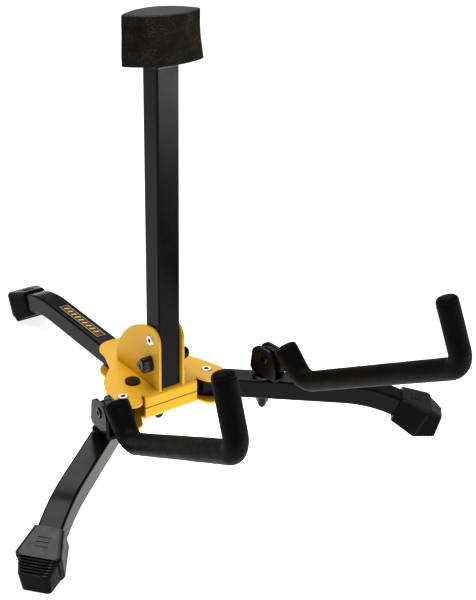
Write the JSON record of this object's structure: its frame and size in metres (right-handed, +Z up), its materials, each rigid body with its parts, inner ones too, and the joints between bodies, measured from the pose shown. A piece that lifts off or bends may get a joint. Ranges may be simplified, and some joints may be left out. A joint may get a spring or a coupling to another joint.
{
  "type": "folding tabletop guitar stand",
  "caption": "Low folding stand for a small guitar: tripod legs with rubber feet, a square mast with a foam backrest, and padded yoke arms that hook under the body.",
  "frame": {"origin": "on the ground, under the middle of the open stand's footprint", "axes": "+Z up; -Y towards the instrument, where the yoke arms reach; +X to the right of someone standing behind the stand"},
  "size_m": [0.3776, 0.4857, 0.338],
  "materials": {
    "yellow_plate": "satin powder coat",
    "black_steel": "gloss black enamel",
    "bare_steel": "satin black enamel",
    "blackened_hardware": "black oxide",
    "zinc_hardware": "bright zinc plate",
    "spring_steel": "bright wire",
    "button_plastic": "fine grain",
    "knob_plastic": "fine grain",
    "nylon": "smooth",
    "plug_plastic": "smooth",
    "foot_rubber": "matte moulded",
    "arm_padding": "closed-cell foam",
    "backrest_padding": "coarse cellular foam",
    "label_foil": "printed foil"
  },
  "bodies": {
    "hub": {"upper_hub_plate": "yellow_plate", "lower_hub_plate": "yellow_plate", "mast_bracket": "yellow_plate", "hub_bolt": "zinc_hardware", "hub_spacer": "zinc_hardware", "hub_dome_nut": "blackened_hardware", "rear_leg_rivets": "zinc_hardware", "left_leg_rivet": "zinc_hardware", "right_leg_rivet": "zinc_hardware", "leg_washers": "nylon", "left_button_post": "button_plastic", "right_button_post": "button_plastic", "left_button_spring": "spring_steel", "right_button_spring": "spring_steel", "lock_bolt": "blackened_hardware", "lock_nut_cover": "blackened_hardware", "mast_pivot_rivet": "zinc_hardware", "rear_leg": "black_steel", "rear_leg_plug": "plug_plastic", "rear_foot": "foot_rubber", "rear_leg_label": "label_foil"},
    "clamp_knob": {"lock_knob": "knob_plastic"},
    "mast": {"mast_tube": "black_steel", "mast_bottom_plug": "plug_plastic", "mast_top_plug": "plug_plastic", "mast_pivot_bush": "zinc_hardware", "backrest_screw": "zinc_hardware"},
    "backrest": {"backrest_core": "plug_plastic", "backrest_foam": "backrest_padding"},
    "left_button": {"left_lock_button": "button_plastic"},
    "left_leg": {"left_leg": "black_steel", "left_leg_plug": "plug_plastic", "left_leg_bush": "zinc_hardware", "left_foot": "foot_rubber", "left_swivel_bolt": "blackened_hardware", "left_swivel_washer": "plug_plastic", "left_swivel_nut": "blackened_hardware"},
    "left_clevis": {"left_arm_clevis": "black_steel", "left_arm_rivet": "blackened_hardware"},
    "left_arm": {"left_arm_rod": "bare_steel", "left_arm_lug": "bare_steel", "left_arm_foam": "arm_padding", "left_arm_caps": "arm_padding", "left_arm_washers": "nylon"},
    "right_button": {"right_lock_button": "button_plastic"},
    "right_leg": {"right_leg": "black_steel", "right_leg_plug": "plug_plastic", "right_leg_bush": "zinc_hardware", "right_foot": "foot_rubber", "right_swivel_bolt": "blackened_hardware", "right_swivel_washer": "plug_plastic", "right_swivel_nut": "blackened_hardware"},
    "right_clevis": {"right_arm_clevis": "black_steel", "right_arm_rivet": "blackened_hardware"},
    "right_arm": {"right_arm_rod": "bare_steel", "right_arm_lug": "bare_steel", "right_arm_foam": "arm_padding", "right_arm_caps": "arm_padding", "right_arm_washers": "nylon"}
  },
  "joints": [
    {"name": "mast_fold", "type": "hinge", "parent": "hub", "child": "mast", "pos_m": [0, -0.01013, 0.0835], "axis": [-1, 0, 0], "range_deg": [0, 90]},
    {"name": "clamp_knob_turn", "type": "hinge", "parent": "hub", "child": "clamp_knob", "pos_m": [-0.015, -0.01013, 0.064], "axis": [-1, 0, 0], "range_deg": [0, 180]},
    {"name": "backrest_turn", "type": "hinge", "parent": "mast", "child": "backrest", "pos_m": [0, -0.01013, 0.311], "axis": [0, 0, 1], "range_deg": [-34, 56]},
    {"name": "left_leg_fold", "type": "hinge", "parent": "hub", "child": "left_leg", "pos_m": [-0.039, -0.01313, 0.0325], "axis": [0, 0, -1], "range_deg": [0, 130.6]},
    {"name": "left_button_press", "type": "slide", "parent": "hub", "child": "left_button", "axis": [0, 0, -1], "range_m": [0, 0.0015], "stiffness_N_per_m": 600, "springref_m": -0.003, "deforming": ["left_button_spring"]},
    {"name": "left_arm_swivel", "type": "hinge", "parent": "left_leg", "child": "left_clevis", "pos_m": [-0.07355, -0.04274, 0.043], "axis": [0, 0, -1], "range_deg": [-15, 45]},
    {"name": "left_arm_tilt", "type": "hinge", "parent": "left_clevis", "child": "left_arm", "pos_m": [-0.07417, -0.04921, 0.0613], "axis": [-0.9954, 0.0958, 0], "range_deg": [0, 60]},
    {"name": "right_leg_fold", "type": "hinge", "parent": "hub", "child": "right_leg", "pos_m": [0.039, -0.01313, 0.0325], "axis": [0, 0, 1], "range_deg": [0, 130.6]},
    {"name": "right_button_press", "type": "slide", "parent": "hub", "child": "right_button", "axis": [0, 0, -1], "range_m": [0, 0.0015], "stiffness_N_per_m": 600, "springref_m": -0.003, "deforming": ["right_button_spring"]},
    {"name": "right_arm_swivel", "type": "hinge", "parent": "right_leg", "child": "right_clevis", "pos_m": [0.07355, -0.04274, 0.043], "axis": [0, 0, 1], "range_deg": [-15, 45]},
    {"name": "right_arm_tilt", "type": "hinge", "parent": "right_clevis", "child": "right_arm", "pos_m": [0.07417, -0.04921, 0.0613], "axis": [-0.9954, -0.0958, 0], "range_deg": [0, 60]}
  ]
}
